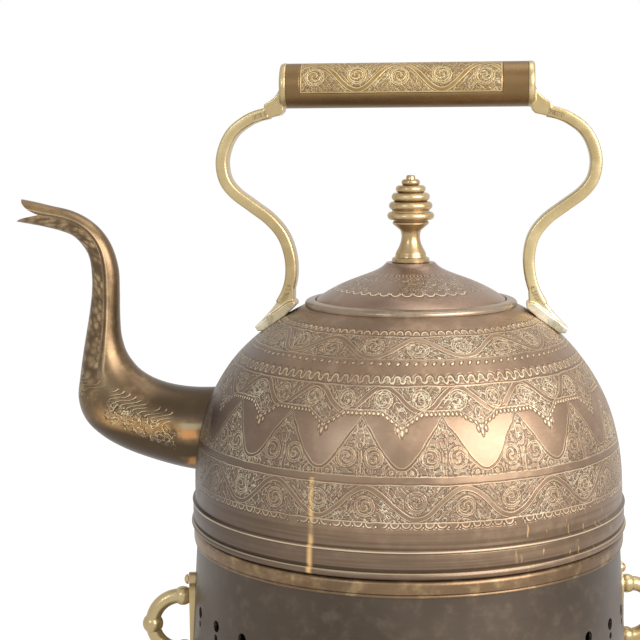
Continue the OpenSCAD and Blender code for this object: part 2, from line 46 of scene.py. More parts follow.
MOUTH_R, RING_R, THROAT_R, LID_R = 54.9, 56.3, 46.6, 50.4
SEAT_H, LIP_TOP_H, REBATE_R = 103.6, 106.1, 50.9
LID_TOP, LID_SHEET = 125.2, 1.3
GRIP_H, GRIP_R, GRIP_HALF = 218.3, 11.7, 62.9
RIM_Z, DRUM_R = 165.0, 113.6
FLARE = math.tan(math.radians(3.5))

# Heights that part the body's skin: plain wall, low band, main band, chain, top band, plain shoulder.
BAND_EDGES = (9.0, 32.5, 74.9, 81.0, 98.3)
# How often each band's pattern repeats round the kettle, and the length of one repeat.
LOW_REPEATS, LOW_PERIOD = 15, 47.8
ARCHES, LAMBREQUIN_PERIOD = 17, 37.2
TOP_REPEATS, TOP_PERIOD = 11, 43.2
HOOKS, HOOK_PERIOD = 110, 4.9


def srgb(red, green, blue):
    """A screen colour, each part from 0 to 255, in the shader's linear values."""
    def linear(value):
        return value / 12.92 if value <= 0.04045 else ((value + 0.055) / 1.055) ** 2.4
    return (linear(red / 255), linear(green / 255), linear(blue / 255), 1.0)


# Curves and meshes

def bezier_line(points, n):
    """A Bezier curve with these control points, as n + 1 points."""
    p = np.array(points, float)
    out = []
    for i in range(n + 1):
        q, t = p.copy(), i / n
        while len(q) > 1:
            q = q[:-1] * (1 - t) + q[1:] * t
        out.append(tuple(q[0]))
    return out


def smooth_line(points, steps):
    """A smooth curve through all the points, with this many steps between two of them."""
    p = np.array(points, float)
    last = len(p) - 1
    out = []
    for i in range(last):
        a, b, c, d = (p[min(max(near, 0), last)] for near in range(i - 1, i + 3))
        for k in range(steps):
            t = k / steps
            out.append(0.5 * (2 * b + (c - a) * t + (2 * a - 5 * b + 4 * c - d) * t * t
                              + (3 * b - a - 3 * c + d) * t ** 3))
    out.append(p[-1])
    return np.array(out)


def arc(cx, cy, r, start, end, n):
    a = np.radians(np.linspace(start, end, n + 1))
    return [(cx + r * math.cos(t), cy + r * math.sin(t)) for t in a]


def dome_radius(h):
    return BODY_R * math.sqrt(max(0.0, 1 - (max(h, 0.0) / DOME_H) ** DOME_P))


def dome_height(r):
    return DOME_H * (1 - (r / BODY_R) ** 2) ** (1 / DOME_P)


def drum_radius(z):
    return DRUM_R + (RIM_Z - 5 - z) * FLARE


def make(name, verts, faces, mats=(), sharp=35):
    """A mesh object from millimetres, with edges sharper than this angle left hard."""
    me = bpy.data.meshes.new(name)
    me.from_pydata((np.asarray(verts, float) * MM).tolist(), [], faces)
    for m in mats:
        me.materials.append(m)
    me.validate()
    me.update()
    ob = bpy.data.objects.new(name, me)
    bpy.context.scene.collection.objects.link(ob)
    finish_mesh(ob, sharp)
    return ob


def finish_mesh(ob, sharp=35):
    bm = bmesh.new()
    bm.from_mesh(ob.data)
    bmesh.ops.remove_doubles(bm, verts=bm.verts, dist=2e-6)
    bmesh.ops.recalc_face_normals(bm, faces=bm.faces)
    bm.to_mesh(ob.data)
    bm.free()
    ob.data.shade_smooth()
    if sharp:
        ob.data.set_sharp_from_angle(angle=math.radians(sharp))


def add_uv(ob, name, uv):
    layer = ob.data.uv_layers.new(name=name)
    layer.data.foreach_set("uv", np.asarray(uv, np.float32).ravel())


def revolve(name, profile, mats, n=192, wobble=None, pick=None, axis=None):
    """A turned piece with a closed profile of (r, z) points.

    wobble(theta, r, z) gives a small radial change, and pick(r, z, row) chooses the material.
    """
    prof = np.array(profile, float)
    m = len(prof)
    theta = np.linspace(0, 2 * math.pi, n, endpoint=False)
    r = np.repeat(prof[:, 0][:, None], n, 1)
    z = np.repeat(prof[:, 1][:, None], n, 1)
    t = np.repeat(theta[None, :], m, 0)
    if wobble is not None:
        r = r + wobble(t, r, z) * (r > 1e-6)
    co = np.stack([r * np.cos(t), r * np.sin(t), z], -1).reshape(-1, 3)
    if axis == "x":
        co = np.stack([co[:, 2], co[:, 0], co[:, 1]], -1)
    i, j = np.meshgrid(np.arange(m), np.arange(n), indexing="ij")
    i2, j2 = (i + 1) % m, (j + 1) % n
    quads = np.stack([i * n + j, i * n + j2, i2 * n + j2, i2 * n + j], -1).reshape(-1, 4)
    length = np.concatenate([[0], np.cumsum(np.hypot(*np.diff(np.vstack([prof, prof[:1]]), axis=0).T))])
    v = length / length[-1]
    corners = ((j / n, v[i]), ((j + 1) / n, v[i]), ((j + 1) / n, v[i + 1]), (j / n, v[i + 1]))
    uv = np.stack([np.stack(corner, -1) for corner in corners], 2).reshape(-1, 2)
    me = bpy.data.meshes.new(name)
    me.from_pydata((co * MM).tolist(), [], quads.tolist())
    for mt in mats:
        me.materials.append(mt)
    if pick is not None:
        mid = 0.5 * (prof[i[:, 0]] + prof[i2[:, 0]])
        which = np.array([pick(a[0], a[1], k) for k, a in enumerate(mid)], np.int32)
        me.polygons.foreach_set("material_index", np.repeat(which, n))
    ob = bpy.data.objects.new(name, me)
    bpy.context.scene.collection.objects.link(ob)
    add_uv(ob, "OFBake", uv)
    finish_mesh(ob)
    return ob


def loft(name, rings, mats, closed_ends=True, sharp=35, flow=None):
    """Rings of equal length joined into a skin. flow gives (along, around) for each ring as a UV map."""
    rings = np.asarray(rings, float)
    m, n = rings.shape[:2]
    i, j = np.meshgrid(np.arange(m - 1), np.arange(n), indexing="ij")
    j2 = (j + 1) % n
    faces = np.stack([i * n + j, i * n + j2, (i + 1) * n + j2, (i + 1) * n + j], -1).reshape(-1, 4).tolist()
    if closed_ends:
        faces.append(list(range(n))[::-1])
        faces.append([(m - 1) * n + k for k in range(n)])
    ob = make(name, rings.reshape(-1, 3), faces, mats, sharp=None)
    if flow is not None:
        f = np.asarray(flow, float)
        corners = ((f[i], j / n), (f[i], (j + 1) / n), (f[i + 1], (j + 1) / n), (f[i + 1], j / n))
        uv = np.stack([np.stack(corner, -1) for corner in corners], 2).reshape(-1, 2)
        extra = len(ob.data.loops) - len(uv)
        add_uv(ob, "Flow", np.vstack([uv, np.zeros((extra, 2))]))
    if sharp:
        ob.data.set_sharp_from_angle(angle=math.radians(sharp))
    return ob


def prism(name, outline, depth, mats):
    """An outline in the X-Z plane, extruded along Y to both sides."""
    n = len(outline)
    verts = [(x, y, z) for y in (-depth / 2, depth / 2) for x, z in outline]
    faces = [list(range(n)), [n + k for k in range(n)][::-1]]
    faces += [[k, n + k, n + (k + 1) % n, (k + 1) % n] for k in range(n)]
    return make(name, verts, faces, mats)


def apply_modifiers(ob):
    bpy.context.view_layer.update()
    dg = bpy.context.evaluated_depsgraph_get()
    me = bpy.data.meshes.new_from_object(ob.evaluated_get(dg))
    ob.modifiers.clear()
    ob.data = me


def cut(ob, *cutters):
    """Takes the cutters' solids away from the object and removes them."""
    for c in cutters:
        m = ob.modifiers.new("cut", "BOOLEAN")
        m.operation, m.solver, m.object = "DIFFERENCE", "EXACT", c
    apply_modifiers(ob)
    for c in cutters:
        bpy.data.objects.remove(c)
    ob.data.shade_smooth()
    ob.data.set_sharp_from_angle(angle=math.radians(40))


def join(name, parts):
    bpy.ops.object.select_all(action="DESELECT")
    for p in parts:
        p.select_set(True)
    bpy.context.view_layer.objects.active = parts[0]
    bpy.ops.object.join()
    parts[0].name = name
    parts[0].data.name = name
    return parts[0]


def cast(ob, voxel, smooth):
    """Melts the joined parts into one casting with soft edges."""
    m = ob.modifiers.new("melt", "REMESH")
    m.mode, m.voxel_size, m.use_smooth_shade = "VOXEL", voxel * MM, True
    s = ob.modifiers.new("soften", "SMOOTH")
    s.factor, s.iterations = 0.5, smooth
    apply_modifiers(ob)
    ob.data.shade_smooth()


# Shader values. In the drawing functions g is the material's Graph, theta an angle in degrees round
# the kettle's axis and h a height above the ridge line.

class Val:
    """A number in a material: plain arithmetic on it makes Math nodes."""

    def __init__(self, graph, socket):
        self.graph, self.socket = graph, socket

    def __add__(self, other):
        return self.graph.math("ADD", self, other)

    def __sub__(self, other):
        return self.graph.math("SUBTRACT", self, other)

    def __rsub__(self, other):
        return self.graph.math("SUBTRACT", other, self)

    def __mul__(self, other):
        return self.graph.math("MULTIPLY", self, other)

    def __truediv__(self, other):
        return self.graph.math("DIVIDE", self, other)

    def __neg__(self):
        return self.graph.math("MULTIPLY", self, -1.0)

    def __abs__(self):
        return self.graph.math("ABSOLUTE", self)

    __radd__ = __add__
    __rmul__ = __mul__


class Graph:
    """A material under construction. x, y and z are the place on the object in millimetres."""

    def __init__(self, name):
        self.mat = bpy.data.materials.new(name)
        self.mat.use_nodes = True
        self.tree = self.mat.node_tree
        self.tree.nodes.clear()
        self.out = self.node("ShaderNodeOutputMaterial")
        self.bsdf = self.node("ShaderNodeBsdfPrincipled")
        self.link(self.bsdf.outputs[0], self.out.inputs[0])
        self.place = self.node("ShaderNodeTexCoord").outputs["Object"]
        sep = self.node("ShaderNodeSeparateXYZ")
        self.link(self.place, sep.inputs[0])
        self.x, self.y, self.z = (Val(self, sep.outputs[k]) * 1000.0 for k in range(3))

    def node(self, kind, **props):
        n = self.tree.nodes.new(kind)
        for k, v in props.items():
            setattr(n, k, v)
        return n

    def link(self, a, b):
        self.tree.links.new(a, b)

    def put(self, value, socket):
        source = value.socket if isinstance(value, Val) else value
        if isinstance(source, bpy.types.NodeSocket):
            self.link(source, socket)
        else:
            socket.default_value = source

    def math(self, op, *args):
        n = self.node("ShaderNodeMath", operation=op)
        for k, a in enumerate(args):
            self.put(a if isinstance(a, Val) else float(a), n.inputs[k])
        return Val(self, n.outputs[0])

    def min(self, *a):
        v = a[0]
        for b in a[1:]:
            v = self.math("MINIMUM", v, b)
        return v

    def max(self, *a):
        v = a[0]
        for b in a[1:]:
            v = self.math("MAXIMUM", v, b)
        return v

    def fract(self, a):
        return self.math("FRACT", a)

    def sin(self, a):
        return self.math("SINE", a)

    def hyp(self, a, b):
        return self.math("SQRT", self.math("MULTIPLY_ADD", a, a, b * b))

    def step(self, v, a, b, low=0.0, high=1.0):
        """Smooth change from low to high as v goes from a to b."""
        n = self.node("ShaderNodeMapRange", interpolation_type="SMOOTHSTEP")
        self.put(v, n.inputs[0])
        for k, s in ((1, a), (2, b), (3, low), (4, high)):
            n.inputs[k].default_value = float(s)
        return Val(self, n.outputs[0])

    def line(self, d, w, soft=0.25):
        """1 within w of the line that d measures from."""
        return self.step(abs(d), w + soft, max(w - soft, 0.0))

    def within(self, v, lo, hi, soft=0.15):
        return self.step(abs(v - (lo + hi) / 2), (hi - lo) / 2 + soft, (hi - lo) / 2 - soft)

    def noise(self, scale, detail=2.0, rough=0.5, vec=None, distort=0.0):
        n = self.node("ShaderNodeTexNoise")
        self.link(vec if vec is not None else self.place, n.inputs["Vector"])
        n.inputs["Scale"].default_value = scale
        n.inputs["Detail"].default_value = detail
        n.inputs["Roughness"].default_value = rough
        n.inputs["Distortion"].default_value = distort
        return Val(self, n.outputs[0])

    def cells(self, scale, vec=None, rand=1.0):
        """Distance from the middle of the nearest cell."""
        n = self.node("ShaderNodeTexVoronoi")
        self.link(vec if vec is not None else self.place, n.inputs["Vector"])
        n.inputs["Scale"].default_value = scale
        n.inputs["Randomness"].default_value = rand
        return Val(self, n.outputs["Distance"])

    def vec(self, x, y, z=0.0):
        n = self.node("ShaderNodeCombineXYZ")
        for k, v in enumerate((x, y, z)):
            self.put(v if isinstance(v, Val) else float(v), n.inputs[k])
        return n.outputs[0]

    def stretch(self, sx, sy, sz):
        n = self.node("ShaderNodeVectorMath", operation="MULTIPLY")
        self.link(self.place, n.inputs[0])
        n.inputs[1].default_value = (sx, sy, sz)
        return n.outputs[0]

    def mix(self, f, a, b):
        n = self.node("ShaderNodeMix", data_type="RGBA")
        n.clamp_factor = True
        self.put(f, n.inputs[0])
        self.put(a, n.inputs[6])
        self.put(b, n.inputs[7])
        return n.outputs[2]

    def angle(self):
        """Degrees round the kettle's axis: 0 faces -Y, and +X is at 90."""
        return self.math("ARCTAN2", self.x, -self.y) * (180 / math.pi)

    def cell(self, theta, count, phase):
        """Position in a repeat, from -0.5 to 0.5."""
        return self.fract((theta - phase) * (count / 360.0) + 0.5) - 0.5

    def bump(self, height, strength, distance):
        n = self.node("ShaderNodeBump")
        n.inputs["Strength"].default_value = strength
        n.inputs["Distance"].default_value = distance
        self.put(height, n.inputs["Height"])
        return n.outputs[0]

    def shade(self, colour, rough, metallic, normal):
        self.put(colour, self.bsdf.inputs["Base Color"])
        self.put(rough, self.bsdf.inputs["Roughness"])
        self.bsdf.inputs["Metallic"].default_value = metallic
        self.link(normal, self.bsdf.inputs["Normal"])
        return self.mat


def patina(g, base, light, dark, rough=0.36, grain=1.0, spots=None):
    """Old brass: cloudy patina, rubbing marks and small pits. Gives colour, roughness and height."""
    cloud = g.noise(9, 3, 0.5)
    fine = g.noise(120, 3, 0.6)
    colour = g.mix(g.step(cloud, 0.32, 0.7), dark, base)
    colour = g.mix(g.step(fine, 0.45, 0.8, 0, 0.35), colour, light)
    if spots is not None:
        colour = g.mix(g.step(g.noise(34, 4, 0.62), 0.62, 0.74, 0, 0.7), colour, spots)
    rubbed = g.noise(70, 2, 0.5, vec=g.stretch(1, 1, 12))
    colour = g.mix(g.step(rubbed, 0.55, 0.75, 0, 0.25), colour, dark)
    height = cloud * 0.5 + fine * (0.09 * grain) + rubbed * 0.04
    return colour, fine * 0.14 + cloud * 0.1 + (rough - 0.12), height


def worn_brass(name, base, light, dark, rough=0.34, metallic=0.85, grain=1.0, spots=None, after=None):
    """A plain brass material; after(g, colour) may add wear, painted highlight or painted shade that has a
    place of its own.
    """
    g = Graph(name)
    colour, r, height = patina(g, base, light, dark, rough, grain, spots)
    if after:
        colour = after(g, colour)
    return g.shade(colour, r, metallic, g.bump(height, 0.35, 0.0012))


def painted_side_and_foot_shade(g, colour):
    """Painted shade: the kettle's left side and its foot are darker than the rest."""
    side = g.step(g.x + g.noise(7, 2, 0.5) * 60, 14, -82, 0, 0.85)
    foot = g.step(g.z + g.noise(12, 3, 0.6) * 14, 204, 180, 0, 0.42) * g.step(g.x, 90, -20, 0.3, 1)
    return g.mix(g.max(side, foot), colour, srgb(76, 66, 62))


def runs(g, colour):
    """Golden streaks worn down the lower wall: a long one left of the middle and short ones to the right."""
    theta, h = g.angle(), g.z - RIDGE_Z
    wave = g.noise(30, 2, 0.5) * 1.2 - 0.6
    long = g.line(theta + 20.6 + wave, 0.45, 0.65) * g.step(g.noise(45, 3, 0.6), 0.32, 0.52, 0.2, 0.9)
    drips = g.step(g.noise(1.0, 2, 0.5, vec=g.vec(theta * 0.9, h * 0.09, 3.0)), 0.64, 0.7, 0, 0.55)
    drips = drips * g.within(theta, 30, 66, 4) * g.step(h, 12, 9)
    return g.mix(g.max(long * g.step(h, 34, 31), drips), colour, srgb(222, 182, 122))


def spout_wear_and_shade(g, colour):
    """Copper-gold where the bulb is rubbed, dark brown above it, painted shade along the underside below it,
    bright patches at the root.
    """
    x, h = g.x, g.z - RIDGE_Z
    level = h + (x + 141.0) * 0.15 + (g.noise(26, 3, 0.6) - 0.5) * 9.0
    rough_patch = g.step(g.noise(55, 3, 0.6), 0.34, 0.56)
    rubbed = g.within(level, 34, 42, 4) * g.step(x, -172, -160) * rough_patch
    colour = g.mix(rubbed * 0.65, colour, srgb(200, 154, 96))
    # Painted shade along the spout's underside; the same dark brown is put on above the bulb near the body.
    low = g.step(level, 36, 30) * 0.9
    top = g.step(level, 43, 48) * g.step(x, -146, -130) * 0.88
    colour = g.mix(g.max(low, top), colour, srgb(70, 56, 40))
    root = g.step(x, -124, -117)
    colour = g.mix(root * g.within(h, 32, 37, 1.5) * rough_patch * 0.7, colour, srgb(206, 142, 92))
    colour = g.mix(root * g.within(h, 15.5, 21, 1.5) * rough_patch * 0.7, colour, srgb(196, 142, 80))
    return g.mix(root * g.within(h, 37, 40, 1) * rough_patch * 0.6, colour, srgb(170, 164, 132))


def ridge_highlight_shade_and_dirt(g, colour):
    """Painted light on the turned edges: a patchy painted highlight along each edge, painted shade in the
    corner just above each, and streaky dirt low on the wall and on the belt.
    """
    h = g.z - RIDGE_Z
    rubbed = g.step(g.noise(24, 3, 0.6), 0.25, 0.5, 0.55, 1.0)
    # Painted shade in the corner just above the ridge and just above the bead.
    corners = g.max(g.within(h, 0.7, 1.3, 0.35) * 0.4, g.within(h, -9.6, -8.4, 0.3) * 0.7)
    colour = g.mix(corners, colour, srgb(60, 48, 36))
    # A painted highlight along the top of the ridge and the bead's upper side, broken into patches by rubbed.
    edge = g.max(g.within(h, -0.5, 0.05, 0.2), g.within(h, -10.6, -10.2, 0.2) * 0.6)
    grain = g.noise(26, 3, 0.6, vec=g.stretch(0.35, 0.35, 22))
    belt = g.within(h, -8.4, -0.9, 0.4)
    dirt = g.max(belt, g.step(h, 9.5, 8)) * g.step(grain, 0.42, 0.62, 0.1, 0.5)
    colour = g.mix(dirt, colour, srgb(84, 68, 48))
    return g.mix(edge * rubbed * 0.7, colour, srgb(222, 202, 168))


class Ink:
    """Cuts of the graver: each has a bright side, where the pale deposit sits, and a dark side of painted
    shade.
    """

    def __init__(self, g):
        self.g, self.bright, self.dark = g, None, None

    def _add(self, b, k):
        self.bright = b if self.bright is None else self.g.max(self.bright, b)
        if k is not None:
            self.dark = k if self.dark is None else self.g.max(self.dark, k)

    def stroke(self, d, w=0.17, where=None, tone=0.62):
        g = self.g
        b = g.line(d, w * 0.75, 0.2) * tone
        # The dark line beside the cut is painted shade.
        k = g.line(d - (w + 0.4), 0.24, 0.2)
        if where is not None:
            b, k = b * where, k * where
        self._add(b, k)

    def dot(self, d, r, where=None):
        g = self.g
        b = g.step(d, r + 0.2, max(r - 0.2, 0))
        # The dark ring round the dot is painted shade.
        k = g.line(d - (r + 0.35), 0.22, 0.2)
        if where is not None:
            b, k = b * where, k * where
        self._add(b, k)


def medallion(g, ink, across, up, radius):
    """A ring with spiral arms inside it. Gives the distance from its middle."""
    arms, pitch = 2.0, 2.3
    out = g.hyp(across, up)
    turn = g.math("ARCTAN2", up, across) * (arms / (2 * math.pi))
    ink.stroke(out - radius)
    ink.stroke((out - (radius - 1.0)) * -1.0, 0.2)
    inside = g.step(out, radius - 1.0, radius - 1.4)
    twist = g.fract(turn + out * (1 / pitch))
    ink.stroke((twist - 0.5) * pitch, 0.3, inside * g.step(out, 0.5, 0.9))
    return out


def vine(g, ink, place, up, period, centre, swing):
    """A running double-line vine with leaf strokes along it. Gives the distance from its middle."""
    leaves, sweep, leaf_gap = 5.0, 2.1, 1.75
    phase = place * (2 * math.pi)
    wave = g.math("COSINE", phase) * swing + centre
    off = (up - wave) / g.hyp(g.sin(phase) * (swing * 2 * math.pi / period), 1.0)
    ink.stroke(off - 1.05)
    ink.stroke((off + 1.05) * -1.0)
    leafy = g.step(g.sin(phase * leaves + abs(off) * sweep), -0.2, 0.3)
    away = g.fract(abs(off) * (1 / leaf_gap)) * leaf_gap - 0.9
    ink.stroke(away, 0.2, leafy * g.step(abs(off), 1.7, 2.1), 0.4)
    return off


# The third colour here is painted shade for the dark side of the cuts.
CREAM, GREEN_GREY, CUT_SHADE = srgb(222, 206, 172), srgb(190, 184, 158), srgb(66, 52, 40)
GOLDEN, BROWN, TAN, UMBER = srgb(192, 166, 128), srgb(144, 119, 96), srgb(172, 147, 120), srgb(118, 97, 78)


def engraved(name, draw, tones=None, cream=None, after=None, fade=False, cut=0.5, rough=0.4):
    """Engraving on worn brass: draw(g, ink, theta, h) cuts the lines and gives the part that is ground."""
    g = Graph(name)
    colour, rough, height = patina(g, *(tones or (BROWN, TAN, UMBER)), rough)
    if after:
        colour = after(g, colour)
    # the graver's lines waver a little
    theta = g.angle() + (g.noise(75, 2, 0.5) - 0.5) * 1.5
    h = g.z - RIDGE_Z + (g.noise(95, 2, 0.5, vec=g.stretch(1, 1, 1.1)) - 0.5) * 1.4
    ink = Ink(g)
    ground = draw(g, ink, theta, h)
    worn = g.step(g.noise(26, 3, 0.6), 0.28, 0.52, 0.35, 1.0)
    if fade:
        worn = worn * g.step(g.x, -104, -68, 0.35, 1.0)
    curl = g.noise(430, 1.0, 0.4)
    squiggle = g.line(curl - 0.5, 0.026, 0.022) * ground
    shadow = g.line(curl - 0.57, 0.03, 0.025) * ground
    bright = g.max(ink.bright * worn, squiggle * 0.85 * worn)
    # Painted shade beside the cuts and the squiggles; cut sets how dark it is.
    dark = g.max(ink.dark * 0.8, shadow * 0.9)
    pale = g.step(g.noise(17, 3, 0.65), 0.42, 0.6)
    colour = g.mix(ground * 0.22, colour, UMBER)
    colour = g.mix(dark * cut, colour, CUT_SHADE)
    colour = g.mix(squiggle * worn * (pale * 0.55 + 0.4), colour, GREEN_GREY)
    line_colour = cream if cream else g.mix(pale, GOLDEN, CREAM)
    colour = g.mix(ink.bright * worn * 0.85, colour, line_colour)
    height = height - dark * 0.35 + bright * 0.12 - ground * 0.1
    mat = g.shade(colour, rough + bright * 0.15 + ground * 0.06, 0.85, g.bump(height, 0.6, 0.001))
    g.put(g.math("SUBTRACT", 0.85, bright * 0.45), g.bsdf.inputs["Metallic"])
    return mat


def scallops(g, ink, theta, up, count, length, radius):
    """A row of small half rings that hang from a line, here and there worn away."""
    along = g.cell(theta, count, 0.0) * length
    out = g.hyp(along, up)
    half = g.step(up * -1.0, -0.3, 0.3) * g.step(g.noise(110, 2, 0.5), 0.36, 0.46)
    ink.stroke(out - radius, 0.3, half, tone=1.0)


def low_band(g, ink, theta, h):
    """A vine that runs round spiral medallions, with a scalloped border below it."""
    phase, bottom, top = 17.0, 13.5, 30.9
    scallop_count, scallop_length = 128, 5.6
    place = g.cell(theta, LOW_REPEATS, phase)
    half_place = g.cell(theta, 2 * LOW_REPEATS, phase)
    side = g.math("SIGN", g.math("COSINE", place * (2 * math.pi)))
    from_medallion = medallion(g, ink, half_place * (LOW_PERIOD / 2) * side, h - (side * -1.2 + 22.1), 4.8)
    from_vine = vine(g, ink, place, h, LOW_PERIOD, 22.4, 7.3)
    field = g.within(h, bottom + 0.3, top - 0.3, 0.2)
    outside_medallion = g.step(from_medallion, 5.2, 5.6)
    # the vine and the medallions end at the band's edges
    ink.bright, ink.dark = ink.bright * field, ink.dark * field
    ink.stroke(h - top, 0.2, tone=0.8)
    ink.stroke(h - bottom, 0.2, tone=0.8)
    scallops(g, ink, theta, h - 13.1, scallop_count, scallop_length, 1.9)
    tiny = g.hyp(g.cell(theta, scallop_count, 1.406) * scallop_length, h - 11.3)
    ink.dot(tiny, 0.35)
    return field * g.step(abs(from_vine), 1.2, 1.6) * g.max(outside_medallion, 0.6)


def main_band(g, ink, theta, h):
    """Tall arches with medallions inside them, and pearled lambrequins that hang between them."""
    bottom, top, arch_foot, arch_rise = 34.8, 74.5, 38.8, 23.6
    place = g.cell(theta, ARCHES, 12.2)
    off_middle = abs(place) * 2.0
    across = place * (h * -0.1 + 44.5)
    # the arches' edge is a raised cosine that ends in a point
    phase = off_middle * math.pi
    point = g.max(1.0 - off_middle * (1 / 0.15), 0.0) * 0.14
    edge = (g.math("COSINE", phase) * 0.43 + 0.43 + point) * arch_rise + arch_foot
    from_arch = (h - edge) / g.hyp(g.sin(phase) * 1.62, 1.0)
    above = g.step(h, bottom - 0.2, bottom + 0.2)
    ink.stroke(from_arch * -1.0 - 0.15, 0.24, above, 0.6)
    ink.stroke(from_arch + 1.6, 0.2, above)
    arch = g.step(from_arch, -1.6, -2.0) * above
    away = abs(across)
    from_medallion = medallion(g, ink, away - 6.7, h - 43.3, 4.7)
    stem = g.step(h, 53.0, 52.0) * above
    ink.stroke(away - 0.75, 0.22, stem * g.step(h, 47.0, 46.0))
    bud = g.hyp(away * 2.0, h - 51.5)
    ink.stroke(bud - 4.4, 0.3)
    ink.stroke(g.hyp(away - 3.4, (h - 56.2) * 0.7) - 1.6, 0.22, arch)
    spray = g.hyp(away - 15.5, h - 36.5)
    ink.stroke(g.fract(spray * 0.55) * 1.8 - 0.9, 0.2, arch * g.step(away, 11.8, 12.2))
    # the lambrequins' edge hangs down in points half way between the arches
    to_next = 1.0 - off_middle
    to_next_mm = to_next * 19.2
    hem = g.min(to_next * (1 / 0.5), 1.0) * 6.2 + 57.4
    from_hem = (h - hem) * 0.86
    below_top = g.step(h, top - 0.1, top - 0.5)
    hang = g.step(from_hem, 0.0, 0.4) * below_top
    arch_bright, arch_dark = ink.bright, ink.dark
    ink.bright = ink.dark = None
    half_place = g.cell(theta, 2 * ARCHES, 17.5)
    medallion(g, ink, half_place * (LAMBREQUIN_PERIOD / 2), h - 68.8, 4.3)
    from_vine = vine(g, ink, g.cell(theta, ARCHES, 17.5), h, LAMBREQUIN_PERIOD, 69.0, 5.2)
    ink.stroke(g.hyp(to_next_mm * 1.5, h - 62.2) - 3.2, 0.25)
    ink.bright = g.max(arch_bright, ink.bright * hang)
    ink.dark = g.max(arch_dark, ink.dark * hang)
    ink.stroke(from_hem - 0.5, 0.25, below_top)
    pearl = g.hyp((g.fract(across * 0.45) - 0.5) * 2.2, from_hem + 0.75)
    ink.dot(pearl, 0.5)
    ink.dot(g.hyp(to_next_mm, (h - 54.4) * 0.42), 0.55)
    ink.dot(g.hyp(to_next_mm - 2.0, (h - 55.8) * 0.55), 0.45)
    ink.stroke(h - top, 0.25)
    ink.stroke(h - bottom, 0.28)
    row = g.within(h, bottom + 0.3, bottom + 2.2)
    around_vine = g.max(hang * g.step(abs(from_vine), 1.2, 1.6), row)
    return g.max(arch * g.step(from_medallion, 4.4, 5.0, 0.7, 1.0), around_vine)


def chain_band(g, ink, theta, h):
    """A row of small hooks, each with a tail that turns the other way."""
    middle = 77.2
    hook = g.hyp(g.cell(theta, HOOKS, 0.0) * HOOK_PERIOD, (h - middle) * 0.85)
    ink.stroke(hook - 1.35, 0.24, g.step(h, 76.4, 76.9), 0.95)
    tail = g.hyp(g.cell(theta, HOOKS, 1.64) * HOOK_PERIOD, (h - middle) * 0.85)
    broken = g.step(g.noise(80, 2, 0.5), 0.3, 0.42)
    ink.stroke(tail - 1.1, 0.24, g.step(h, 77.0, 76.5) * broken, 1.0)
    ink.stroke(h - 74.5, 0.2)
    return g.within(h, 75.6, 78.9) * 0.5


def top_band(g, ink, theta, h):
    """A vine round spiral medallions, between a row of dots below and small scallops above."""
    up = (h - 90.4) * 1.6
    place = g.cell(theta, TOP_REPEATS, 7.0)
    half_place = g.cell(theta, 2 * TOP_REPEATS, 7.0)
    side = g.math("SIGN", g.math("COSINE", place * (2 * math.pi)))
    medallion(g, ink, half_place * (TOP_PERIOD / 2) * side, up + side * 0.8, 5.2)
    from_vine = vine(g, ink, place, up, TOP_PERIOD, 0.0, 6.0)
    field = g.within(h, 85.8, 95.0)
    ink.bright, ink.dark = ink.bright * field, ink.dark * field
    ink.stroke(up - 7.5, 0.22)
    ink.stroke(up + 7.5, 0.22)
    dot_place = g.cell(theta, 120, 0.0) * 4.4
    ink.dot(g.hyp(dot_place - (h - 83.9) * 0.8, (h - 83.9) * 1.1), 0.52)
    scallop = g.hyp(g.cell(theta, 104, 0.0) * 4.2, (h - 95.9) * 1.2)
    broken = g.step(g.noise(70, 2, 0.5), 0.32, 0.44)
    ink.stroke(scallop - 1.5, 0.3, g.step(h, 95.6, 95.9) * broken, tone=0.9)
    return field * g.step(abs(from_vine), 1.2, 1.6)


def lid_marks(g, ink, theta, h):
    """Scallops and dots round the lid's slope, and short strokes round its neck."""
    radius = g.hyp(g.x - 2.0, g.y)
    scallop_place = g.cell(theta, 42, 3.0) * 6.0
    broken = g.step(g.noise(60, 2, 0.5), 0.34, 0.46)
    ink.stroke(g.hyp(scallop_place, radius - 38.6) - 2.4, 0.34, g.step(radius, 38.4, 38.9) * broken, 1.0)
    ink.stroke(g.hyp(g.cell(theta, 42, 7.3) * 6.0, radius - 39.4) - 0.4, 0.2)
    stroke_place = g.cell(theta, 36, 0.0) * 3.6
    ink.stroke(abs(stroke_place) - 0.9, 0.25, g.within(radius, 19.8, 22.0))
    return g.within(radius, 23.0, 37.8, 2.0) * g.step(g.noise(40, 2, 0.5), 0.3, 0.55, 0.15, 0.8)


def grip_marks(g, ink, theta, h):
    """The panel on the grip: a vine with spiral rings inside a double frame."""
    around = g.math("ARCTAN2", g.z - (RIDGE_Z + GRIP_H), -g.y) * GRIP_R
    along = g.x + 2.8
    inner = g.within(around, -3.4, 16.0) * g.within(along, -51.6, 51.6)
    place = g.fract((g.x + 25.5) / 44.0 + 0.5) - 0.5
    half_place = g.fract((g.x + 25.5) / 22.0 + 0.5) - 0.5
    side = g.math("SIGN", g.math("COSINE", place * (2 * math.pi)))
    medallion(g, ink, half_place * 22.0 * side, around - side * 0.5 - 5.2, 5.0)
    from_vine = vine(g, ink, place, around, 44.0, 5.4, -8.0)
    ink.bright, ink.dark = ink.bright * inner, ink.dark * inner
    border = g.max(abs(around - 6.3) - 10.1, abs(along) - 52.0)
    ink.stroke(border, 0.2)
    return inner * g.step(abs(from_vine), 1.2, 1.6) * 0.8


